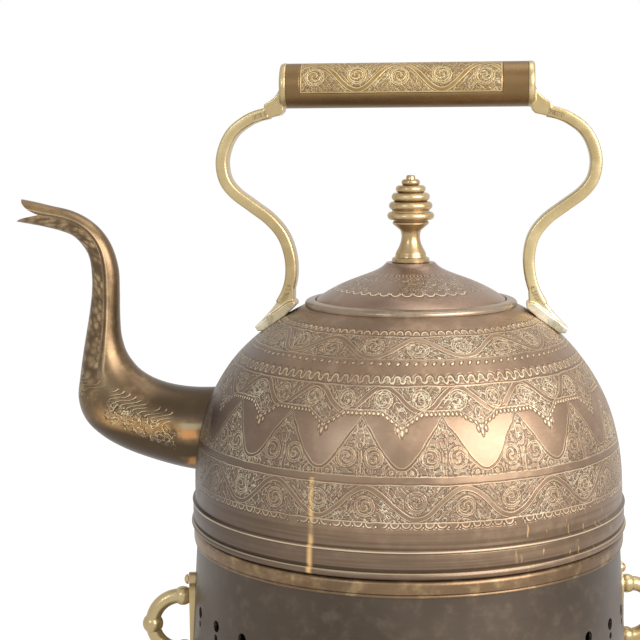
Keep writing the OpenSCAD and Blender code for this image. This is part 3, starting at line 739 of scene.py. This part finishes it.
def spout_marks(g, ink, theta, h):
    """Scales down the left of the neck beside a long crease, and a scroll with plumes on the bulb."""
    uv = g.node("ShaderNodeUVMap", uv_map="Flow").outputs[0]
    sep = g.node("ShaderNodeSeparateXYZ")
    g.link(uv, sep.inputs[0])
    along, around = Val(g, sep.outputs[0]), Val(g, sep.outputs[1])
    off = abs(around - 0.5)
    width = along * -0.1 + 60.0
    neck = g.step(along, 64, 80) * g.step(along, 247, 238)
    v = off * width
    edge = v - width * 0.285 + g.sin(along * 0.11) * 0.5
    # Along the crease: a painted highlight beside it and painted shade in it.
    ink._add(g.line(edge - 1.1, 0.3, 0.3) * neck * 0.4, g.line(edge + 0.1, 0.6, 0.5) * neck)
    scales = neck * g.step(edge, -0.9, -1.5)
    # Each scale gets a painted highlight in its middle and painted shade at its edge.
    cell = g.cells(1.0, vec=g.vec(v * (1 / 2.6) + along * 0.16, along * (1 / 4.4)), rand=0.85)
    ink._add(g.step(cell, 0.52, 0.16) * scales * 0.4, g.step(cell, 0.44, 0.7) * scales * 0.8)
    front = g.step(g.y, 0.0, -2.0)
    x, z = g.x + 141.0, h - 41.0
    u = x * 0.93 - z * 0.36
    w = x * 0.36 + z * 0.93
    plume = g.within(u, -21.0, 21.0, 2.0) * g.within(w, -9.0, 11.0, 2.0) * front
    curls = g.noise(290, 1, 0.4, distort=0.4)
    low = g.within(w, -8.5, 2.8, 0.8)
    # Bright curls on the bulb, each with painted shade beside it.
    ink._add(g.line(curls - 0.48, 0.022, 0.02) * low, g.line(curls - 0.55, 0.035, 0.025) * low)
    fan = g.fract((u + g.sin(w * 0.5) * 3.0 - w * 0.5) * (1 / 3.6)) * 3.6 - 1.8
    fan_part = g.within(w, 2.6, 10.5, 0.6) * g.step(u, 16, 12) * g.step(g.noise(90, 2, 0.5), 0.36, 0.5)
    ink.stroke(fan, 0.26, fan_part, 1.0)
    keep = g.max(neck, plume * g.step(g.noise(42, 2, 0.5), 0.3, 0.42))
    ink.bright, ink.dark = ink.bright * keep, ink.dark * keep
    return plume * g.within(w, -7.5, 2.5, 1.0) * g.step(g.noise(55, 2, 0.5), 0.4, 0.6) * 0.8


LOW_MAT = engraved("BodyLowBand", low_band, after=lambda g, c: runs(g, painted_side_and_foot_shade(g, c)), fade=True)
MAIN_MAT = engraved("BodyMainBand", main_band, after=painted_side_and_foot_shade, fade=True)
CHAIN_MAT = engraved("BodyChain", chain_band, after=painted_side_and_foot_shade, fade=True)
TOP_MAT = engraved("BodyTopBand", top_band, after=painted_side_and_foot_shade, fade=True)


def cast_left_shade_and_solder(g, colour):
    """Painted shade makes the cast brass browner towards the left, so the left arm is browner; the pads on
    the shoulder are whitened by solder and dirty at their edges.
    """
    h = g.z - RIDGE_Z
    # Painted shade: the cast brass is browner towards the left.
    colour = g.mix(g.step(g.x, 40, -60, 0, 0.4), colour, srgb(170, 148, 108))
    pad = g.within(h, 80, 103, 1.5) * g.step(g.x * g.x, 3000, 3400)
    colour = g.mix(pad * g.step(g.noise(60, 3, 0.6), 0.35, 0.6, 0.2, 0.8), colour, srgb(222, 216, 196))
    return g.mix(pad * g.step(g.noise(90, 3, 0.6), 0.52, 0.66, 0, 0.6), colour, srgb(112, 108, 88))


def grip_painted_shade_and_dark_ends(g, colour):
    """Painted shade on the grip's underside, below its panel; the grip is also darker at its two ends."""
    # Painted shade on the underside, below the panel.
    below = g.step(g.z, RIDGE_Z + GRIP_H - 2.5, RIDGE_Z + GRIP_H - 6.5)
    ends = g.step(abs(g.x + 2.8), 51.4, 52.4)
    return g.mix(g.max(below, ends) * 0.75, colour, srgb(104, 80, 52))


# Materials
body_plain = worn_brass("BodyBrass", BROWN, TAN, UMBER, 0.4,
                        after=lambda g, c: runs(g, ridge_highlight_shade_and_dirt(g, painted_side_and_foot_shade(g, c))))
spout_mat = engraved("SpoutBrass", spout_marks, (srgb(126, 103, 75), srgb(172, 144, 102), srgb(88, 71, 52)),
                     srgb(210, 184, 136), spout_wear_and_shade, cut=0.85, rough=0.34)
lid_mat = engraved("LidBrass", lid_marks, (srgb(152, 128, 108), srgb(180, 156, 134), srgb(124, 103, 88)),
                   rough=0.35)
ring_mat = worn_brass("RingBrass", srgb(156, 137, 115), srgb(190, 170, 145), srgb(124, 106, 88), 0.36)
cast_mat = worn_brass("CastBrass", srgb(190, 172, 128), srgb(218, 202, 160), srgb(156, 135, 94), 0.34, 0.8,
                      grain=0.5, after=cast_left_shade_and_solder)
gold_mat = worn_brass("TurnedBrass", srgb(178, 150, 108), srgb(210, 182, 138), srgb(134, 106, 72), 0.3)
grip_mat = engraved("GripBrass", grip_marks, (srgb(148, 122, 78), srgb(178, 152, 102), srgb(108, 85, 53)),
                    srgb(230, 208, 152), grip_painted_shade_and_dark_ends)
rim_mat = worn_brass("RimBrass", srgb(132, 108, 80), srgb(196, 166, 122), srgb(92, 72, 52), 0.38,
                     spots=srgb(206, 176, 130))
finial_mat = worn_brass("FinialBrass", srgb(194, 170, 128), srgb(222, 202, 162), srgb(142, 116, 80), 0.32)
drum_mat = worn_brass("DrumBrass", srgb(90, 79, 68), srgb(116, 101, 84), srgb(70, 60, 50), 0.42)
dark_mat = worn_brass("DarkBrass", srgb(92, 74, 58), srgb(120, 96, 72), srgb(60, 48, 38), 0.5)
cotton = Graph("WickCotton")
weave = cotton.cells(900)
wick_mat = cotton.shade(cotton.mix(weave, srgb(214, 204, 178), srgb(236, 230, 212)), 0.9, 0.0,
                        cotton.bump(weave, 0.6, 0.0005))


def dress(node, mat):
    ob = NODES[node]
    ob.data.materials.clear()
    ob.data.materials.append(mat)


for n in ("kettle_pan", "finial_nut", "stand_floor", "lid_skirt"):
    dress(n, dark_mat)
for n in ("hinge_leaf", "hinge_pin", "lid_strap", "door_frame", "handle_rivets", "burner_tank",
          "snuffer_cap"):
    dress(n, gold_mat)
for n in ("side_handle_left", "side_handle_right", "tank_collar", "wick_holder", "snuffer_pin"):
    dress(n, cast_mat)
for n in ("stand_drum", "stand_base"):
    dress(n, drum_mat)
dress("wick", wick_mat)


LEAN = 2.0
LEANING = ("kettle_body", "mouth_ring", "lid_dome", "finial", "bail_arm_left", "bail_arm_right")


def lean(ob, is_bail):
    """The lid and the mouth stand a little to the right of the body's axis; the bail's feet go with them."""
    co = np.empty(len(ob.data.vertices) * 3)
    ob.data.vertices.foreach_get("co", co)
    co = co.reshape(-1, 3)
    z = co[:, 2] / MM
    share = np.clip((330 - z) / 45 if is_bail else (z - 250) / 30, 0, 1)
    co[:, 0] += LEAN * MM * share * share * (3 - 2 * share)
    ob.data.vertices.foreach_set("co", co.ravel())
    ob.data.update()


def stand_for(ob, node, body):
    """Puts the object in the place of a node of the frame, on its body."""
    ob.name = ob.data.name = node + "_skin"
    if node in LEANING:
        lean(ob, node.startswith("bail"))
    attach(ob, body)
    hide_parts(node)


# Kettle body
dome_hs = list(RIDGE_Z + np.linspace(1.2, dome_height(MOUTH_R), 150))
outer = [(dome_radius(z - RIDGE_Z), z) for z in dome_hs]
inner = [(r - SHEET, z - 0.2) for r, z in outer[::-3]] + [(BODY_R - SHEET, RIDGE_Z + 1)]
foot_h, flange_h, flange_r, bead_r = -14.0, -12.4, 111.1, 1.9
low = [(BODY_R - SHEET, flange_h + 1.6), (flange_r + 0.5, flange_h), (110.5, flange_h), (110.5, foot_h),
       (113.5, foot_h)]
low += arc(BODY_R + 0.2, foot_h + 2.3, bead_r, -80, 78, 14)
low += [(BODY_R + 0.84, -8.7), (BODY_R + 1.05, -8.3), (BODY_R + 1.1, -7.8), (BODY_R + 1.1, -1.6),
        (BODY_R + 0.95, -1.15)]
low += arc(BODY_R + 0.5, -0.2, 0.95, -50, 70, 8)
low = [(r, RIDGE_Z + h) for r, h in low]


def hand_wobble(t, r, z):
    """The hammered wall above the ridge is not quite round."""
    waves = 0.12 * np.sin(3 * t + z / 21) + 0.07 * np.sin(7 * t - z / 13 + 1) + 0.03 * np.sin(17 * t + z / 5)
    return waves * (z > RIDGE_Z + 2)


def body_mat(r, z, row):
    """0 is the plain skin, and 1 to 4 are the engraved bands from the lowest up."""
    if row < len(low) or row >= len(low) + len(outer) - 1:
        return 0
    return sum(z - RIDGE_Z >= edge for edge in BAND_EDGES) % len(BAND_EDGES)


body = revolve("kettle_body_skin", low + outer + inner, [body_plain, LOW_MAT, MAIN_MAT, CHAIN_MAT, TOP_MAT],
               n=384, pick=body_mat, wobble=hand_wobble)
stand_for(body, "kettle_body", "kettle")

# Mouth ring
skin = dome_height(MOUTH_R) + 0.12
ring = [(THROAT_R, SEAT_H - 2.6), (MOUTH_R - 0.02, SEAT_H - 2.6), (MOUTH_R - 0.02, skin),
        (RING_R, dome_height(RING_R) + 0.12), (RING_R + 0.1, SEAT_H - 0.1)]
ring += arc(RING_R - 1.9, SEAT_H, 2, 0, 60, 8)
ring += bezier_line([(54.5, 105.7), (53.1, 106.1), (REBATE_R + 0.4, LIP_TOP_H)], 8)
ring += [(REBATE_R, LIP_TOP_H - 0.4), (REBATE_R, SEAT_H), (THROAT_R, SEAT_H)]
mouth = revolve("mouth", [(r, RIDGE_Z + h) for r, h in ring], [ring_mat], n=256)
stand_for(mouth, "mouth_ring", "kettle")

# Lid
shank_hole_r = 2.56
lid_line = [(LID_R, SEAT_H), (LID_R, 105.4)]
lid_line += bezier_line([(50.1, 105.9), (45.1, 109.9), (35.2, 115.7), (27, 117.7), (18.2, 119.8),
                         (15.2, 122.4), (12.9, LID_TOP)], 60)
lid_line += [(shank_hole_r, LID_TOP), (shank_hole_r, LID_TOP - LID_SHEET)]
lid_line += bezier_line([(12, LID_TOP - LID_SHEET), (14.3, 121), (17.5, 118.6), (26.8, 116.3), (35.2, 114.1),
                         (43.7, 108.9), (46.4, SEAT_H + LID_SHEET)], 24)
lid_line += [(44, SEAT_H + LID_SHEET), (44, SEAT_H)]
lid = revolve("lid", [(r, RIDGE_Z + h) for r, h in lid_line], [lid_mat], n=256)
stand_for(lid, "lid_dome", "lid")

# Finial: each tier of the beehive is its greatest radius, its height and the radius of its edge
tiers = [(12.4, 149.9, 2.1), (11.5, 155.2, 2.2), (10.1, 159.9, 2.2), (7.9, 164, 2.0), (4.9, 167.5, 1.7)]
core_foot_r, core_foot_h, core_tip_h = 9.3, 147.8, 170.4


def core_radius(h):
    """The radius at the bottom of the grooves between the tiers."""
    return core_foot_r * (core_tip_h - h) / (core_tip_h - core_foot_h)


fin = [(0, LID_TOP - 7), (2.5, LID_TOP - 7), (2.5, LID_TOP), (9.6, LID_TOP), (10, 125.7), (10, 127),
       (9.4, 127.8), (8.4, 128.1)]
fin += bezier_line([(8.1, 128.9), (8.7, 130.9), (5.1, 132.9), (4.2, 138.2), (4.6, 140.6), (5.8, 142.5)], 16)
fin += [(9, 145.1), (9.6, 145.8), (9.6, 146.5), (8.9, 147.3), (9.3, 147.8)]
for r, h, t in tiers:
    fin += [(max(core_radius(h - t * 0.8), r - t * 0.9), h - t * 0.92)]
    fin += arc(r - t, h, t, -70, 70, 10)
    fin += [(max(core_radius(h + t * 0.8), r - t), h + t * 0.92)]
fin += [(2.5, 168.9), (2.3, 170.7), (1.9, 171.2), (0, 171.4)]
finial = revolve("finial_piece", [(r, RIDGE_Z + h) for r, h in fin], [finial_mat], n=128)
stand_for(finial, "finial", "lid")

# Bail: the arms' middle line, the half width, half depth and corner radius of their section
arm_line = [(73.1, 204.2), (78.9, 202.8), (84.7, 200.2), (91.8, 194.8), (96.3, 187.3), (98.3, 178.2),
            (96.7, 169.1), (91.5, 162.1), (82.2, 155.1), (72.9, 148), (66.2, 139.4), (63.2, 128.9),
            (63.3, 118.5), (65.6, 109.9), (69.3, 103)]
ARM_HALF_W, ARM_HALF_D, ARM_CORNER = 3.05, 6.25, 1.3
PAD_DEPTH = 17


def arm_section():
    """A rectangle with rounded corners, as (outwards, along Y) points."""
    u, v, c = ARM_HALF_W, ARM_HALF_D, ARM_CORNER
    section = []
    for sx, sy, start in ((1, 1, 0), (-1, 1, 90), (-1, -1, 180), (1, -1, 270)):
        for k in range(4):
            a = math.radians(start + k * 30)
            section.append((sx * (u - c) + c * math.cos(a), sy * (v - c) + c * math.sin(a)))
    return section


def arm_sweep(side):
    """The S-scroll itself."""
    path = smooth_line(arm_line, 6)
    section = arm_section()
    rings = []
    for k in range(len(path)):
        d = path[min(k + 1, len(path) - 1)] - path[max(k - 1, 0)]
        d = d / np.hypot(*d)
        nx, nz = d[1], -d[0]
        rings.append([(side * (path[k][0] + nx * q[0]), q[1], RIDGE_Z + path[k][1] + nz * q[0])
                      for q in section])
    return loft("sweep", rings, [cast_mat], sharp=None)


def arm_ends(side):
    """The lug and the round plate at the grip, and the foot with its pad on the shoulder, as one casting."""
    def up(points):
        return [(side * x, RIDGE_Z + h) for x, h in points]

    lug = [(64.7, 208.5), (64.8, 205.1), (66.6, 203.2), (73.8, 201.5), (81.8, 198.8), (83.3, 203.8),
           (75, 206.3)]
    lug += bezier_line([(74.9, 208.8), (68.7, 211.8), (66.4, 215.3), (65.9, 220.4)], 10) + [(64.5, 220.4)]
    foot = bezier_line([(66.6, 114.5), (69.2, 105.1), (74.6, 99.2), (82.8, 91.2)], 10)
    foot += [(72.7, 94), (62.4, 104.2), (61.9, 114.5)]
    pad = [(83, 91), (81.4, 88.6), (78.1, 89), (66.8, 96.8), (61, 102.2), (61.2, 103.8),
           (62.6, 105), (65.3, 104.2)]
    r = GRIP_R
    plate = revolve("plate", [(0, 0), (r + 0.2, 0), (r + 0.2, 1.6), (r - 0.1, 2.7), (r - 0.9, 3.4), (0, 3.4)],
                    [cast_mat], n=64)
    to_grip = Matrix.Translation((side * GRIP_HALF * MM, 0, (RIDGE_Z + GRIP_H) * MM))
    plate.data.transform(to_grip @ Matrix.Rotation(math.radians(90) * side, 4, "Y"))
    parts = [prism("lug", up(lug), 2 * ARM_HALF_D, [cast_mat]), plate]
    parts.append(prism("foot", up(foot), 2 * ARM_HALF_D, [cast_mat]))
    parts.append(prism("pad", up(pad), PAD_DEPTH, [cast_mat]))
    for p in parts:
        while p.data.uv_layers:
            p.data.uv_layers.remove(p.data.uv_layers[0])
        finish_mesh(p)
    ends = join("ends", parts)
    cast(ends, 0.4, 4)
    return ends


def bail_arm(side):
    sweep = arm_sweep(side)
    return join("arm", [arm_ends(side), sweep])


for side, name in ((-1, "bail_arm_left"), (1, "bail_arm_right")):
    stand_for(bail_arm(side), name, "kettle")

grip_line = [(GRIP_R - 1.2, -GRIP_HALF), (GRIP_R, -GRIP_HALF)]
grip_line += [(GRIP_R, x) for x in np.linspace(-GRIP_HALF + 0.4, GRIP_HALF - 0.4, 40)]
grip_line += [(GRIP_R, GRIP_HALF), (GRIP_R - 1.2, GRIP_HALF)]
grip = revolve("grip", grip_line, [grip_mat], n=128, axis="x")
grip.data.transform(Matrix.Translation((0, 0, (RIDGE_Z + GRIP_H) * MM)))
stand_for(grip, "grip_tube", "kettle")

# Spout: each station is its lower or left edge (x, h), its upper or right edge (x, h) and half its depth
stations = [(-106.3, 10.2, -100.9, 56.7, 19.9), (-120.5, 12, -116.1, 56.5, 20.3),
            (-136.7, 16, -129.1, 58.1, 19.8), (-152.8, 21.4, -139.1, 61.4, 18.8),
            (-166.4, 28.4, -146.4, 66, 17.2), (-176.3, 37.6, -150.6, 70.8, 15.6),
            (-180.4, 49.4, -153.3, 75.1, 14), (-179.1, 63, -154.9, 79.5, 12.1),
            (-176.8, 77.5, -156.3, 86.6, 10.3), (-173.6, 94.6, -156.6, 98.1, 8.6),
            (-171.6, 108.5, -156.4, 108.5, 7.6), (-171.4, 119.4, -156.7, 121, 7.1),
            (-172.7, 128.1, -159.9, 132.9, 6.8), (-176.4, 134.5, -165.4, 141.8, 6.5),
            (-181.4, 139.2, -172.8, 148.3, 6.3), (-188.3, 141.9, -182.3, 152.9, 6.2),
            (-197.2, 144.1, -193.8, 155.6, 6.2), (-205.2, 145.6, -202.6, 157.7, 6.3),
            (-213.4, 147, -209.9, 159.1, 6.3)]
sp = smooth_line(stations, 8)
SIDES, SPOUT_SHEET = 64, 1.2


def spout_ring(s, inwards):
    lo, hi = np.array(s[:2]), np.array(s[2:4])
    mid, half = (lo + hi) / 2, (hi - lo) / 2
    k = (np.hypot(*half) - inwards) / np.hypot(*half)
    a = np.linspace(0, 2 * math.pi, SIDES, endpoint=False)
    p = mid + half * k * np.cos(a)[:, None]
    return np.stack([p[:, 0], (s[4] - inwards) * np.sin(a), RIDGE_Z + p[:, 1]], -1)


rings = [spout_ring(s, 0) for s in sp] + [spout_ring(s, SPOUT_SHEET) for s in sp[::-1]]
mid = (sp[:, :2] + sp[:, 2:4]) / 2
along = np.concatenate([[0], np.cumsum(np.hypot(*np.diff(mid, axis=0).T))])
flow = np.concatenate([along, along[::-1], along[:1]])
spout = loft("spout_skin", rings + [rings[0]], [spout_mat], closed_ends=False, flow=flow)
dome_line = [(dome_radius(z - RIDGE_Z) - 0.02, z) for z in np.linspace(RIDGE_Z, RIDGE_Z + 100, 60)]
dome_cut = revolve("dome_cut", [(0, RIDGE_Z)] + dome_line + [(0, RIDGE_Z + 100)], [], n=192)
notch = (-198.5, 150.6)
jaws = bezier_line([notch, (-204.4, 152.9), (-208.4, 155.4), (-209.7, 160.2)], 12)
jaws += [(-220, 160.2), (-220, 144)]
jaws += bezier_line([(-213, 146.4), (-209.3, 149.4), (-203.9, 149.6), notch], 12)[:-1]
beak_cut = prism("beak_cut", [(x, RIDGE_Z + h) for x, h in jaws], 40, [])
cut(spout, dome_cut, beak_cut)
stand_for(spout, "spout", "kettle")

# Stand rim
low_z, out, roll, inside_r = RIM_Z - 8.4, 115.4, 2.6, 109.2
rim = [(inside_r, RIM_Z - 5), (DRUM_R + 0.15, RIM_Z - 5), (drum_radius(low_z) + 0.15, low_z),
       (out - 0.5, low_z), (out - 0.3, low_z + 0.5), (out - 0.7, low_z + 1.1), (out, low_z + 1.9)]
rim += arc(out - roll, RIM_Z - roll, roll, 0, 90, 14) + [(inside_r, RIM_Z)]
stand_for(revolve("rim", rim, [rim_mat], n=384), "stand_rim", "stand")

# Stage, lights and camera
FLOOR_HALF, FLOOR_GREY, FLOOR_GLOW, GLOW_SHARE = 6.0, 0.85, 1.22, 0.71
SKY_LIGHT, SKY_SEEN = 0.55, 1.0


def seen_rays(nt):
    """1 for what the camera sees, straight, mirrored or through glass, and 0 for the light on things."""
    rays = nt.nodes.new("ShaderNodeLightPath")
    seen = rays.outputs["Is Camera Ray"]
    for kind in ("Is Glossy Ray", "Is Transmission Ray"):
        larger = nt.nodes.new("ShaderNodeMath")
        larger.operation = "MAXIMUM"
        nt.links.new(seen, larger.inputs[0])
        nt.links.new(rays.outputs[kind], larger.inputs[1])
        seen = larger.outputs[0]
    return seen


def mixed(nt, share, first, second, out):
    """Sends a mix of two shaders to the output."""
    mix = nt.nodes.new("ShaderNodeMixShader")
    nt.links.new(share, mix.inputs[0])
    nt.links.new(first, mix.inputs[1])
    nt.links.new(second, mix.inputs[2])
    nt.links.new(mix.outputs[0], nt.nodes.new(out).inputs[0])


def floor_material():
    """Pale and plain: it keeps the object's shadow, and the camera sees part of it as white light."""
    mat = bpy.data.materials.new("StudioFloor")
    mat.use_nodes = True
    nt = mat.node_tree
    nt.nodes.clear()
    diffuse = nt.nodes.new("ShaderNodeBsdfDiffuse")
    diffuse.inputs[0].default_value = (FLOOR_GREY, FLOOR_GREY, FLOOR_GREY, 1)
    glow = nt.nodes.new("ShaderNodeEmission")
    glow.inputs[0].default_value = (1, 1, 1, 1)
    glow.inputs[1].default_value = FLOOR_GLOW
    share = nt.nodes.new("ShaderNodeMath")
    share.operation = "MULTIPLY"
    share.inputs[1].default_value = GLOW_SHARE
    nt.links.new(seen_rays(nt), share.inputs[0])
    mixed(nt, share.outputs[0], diffuse.outputs[0], glow.outputs[0], "ShaderNodeOutputMaterial")
    return mat


def stage_floor():
    me = bpy.data.meshes.new("floor")
    s = FLOOR_HALF
    me.from_pydata([(-s, -s, 0), (s, -s, 0), (s, s, 0), (-s, s, 0)], [], [(0, 1, 2, 3)])
    me.materials.append(floor_material())
    ob = bpy.data.objects.new("floor", me)
    bpy.context.scene.collection.objects.link(ob)


def white_sky(nt, strength):
    sky = nt.nodes.new("ShaderNodeBackground")
    sky.inputs[0].default_value = (1, 1, 1, 1)
    sky.inputs[1].default_value = strength
    return sky.outputs[0]


def studio_world():
    world = bpy.data.worlds.new("Studio")
    bpy.context.scene.world = world
    world.use_nodes = True
    nt = world.node_tree
    nt.nodes.clear()
    mixed(nt, seen_rays(nt), white_sky(nt, SKY_LIGHT), white_sky(nt, SKY_SEEN), "ShaderNodeOutputWorld")


def softbox(name, at, target, size, power, colour=(1, 1, 1)):
    data = bpy.data.lights.new(name, "AREA")
    data.shape, data.size, data.size_y = "RECTANGLE", size[0], size[1]
    data.energy, data.color = power, colour
    ob = bpy.data.objects.new(name, data)
    ob.location = at
    ob.rotation_euler = (Vector(target) - Vector(at)).to_track_quat("-Z", "Y").to_euler()
    bpy.context.scene.collection.objects.link(ob)


stage_floor()
studio_world()
MIDDLE = (0, 0, 0.25)
softbox("KeyRight", (0.94, -0.86, 0.79), MIDDLE, (1.1, 0.8), 30, (1, 0.97, 0.97))
softbox("FillLeft", (-0.60, -1.10, 0.83), MIDDLE, (0.16, 0.2), 3.2, (0.68, 0.82, 1))
softbox("Top", (0.3, 0.1, 1.4), MIDDLE, (0.8, 0.8), 5)

# Camera: 0.80 m in front of the kettle's axis, a little lower than the grip, looking slightly down.
# Its place is in metres, its turns are in degrees and its focal length is in the photograph's pixels.
CAM_AT, YAW, PITCH, ROLL = (0.04189, -0.79927, 0.38005), 6.3287, 7.5939, -0.458
FOCAL_PX, PHOTO_PX, SENSOR_MM = 1508.65, 640, 36.0
cam_data = bpy.data.cameras.new("Camera")
cam_data.sensor_width, cam_data.lens = SENSOR_MM, SENSOR_MM * FOCAL_PX / PHOTO_PX
cam_data.clip_start, cam_data.clip_end = 0.05, 60
cam = bpy.data.objects.new("Camera", cam_data)
turn = [Matrix.Rotation(math.radians(a), 4, axis) for a, axis in ((YAW, "Z"), (90 - PITCH, "X"), (ROLL, "Z"))]
cam.matrix_world = Matrix.Translation(CAM_AT) @ turn[0] @ turn[1] @ turn[2]
bpy.context.scene.collection.objects.link(cam)
bpy.context.scene.camera = cam
bpy.context.scene.view_settings.view_transform = "Standard"
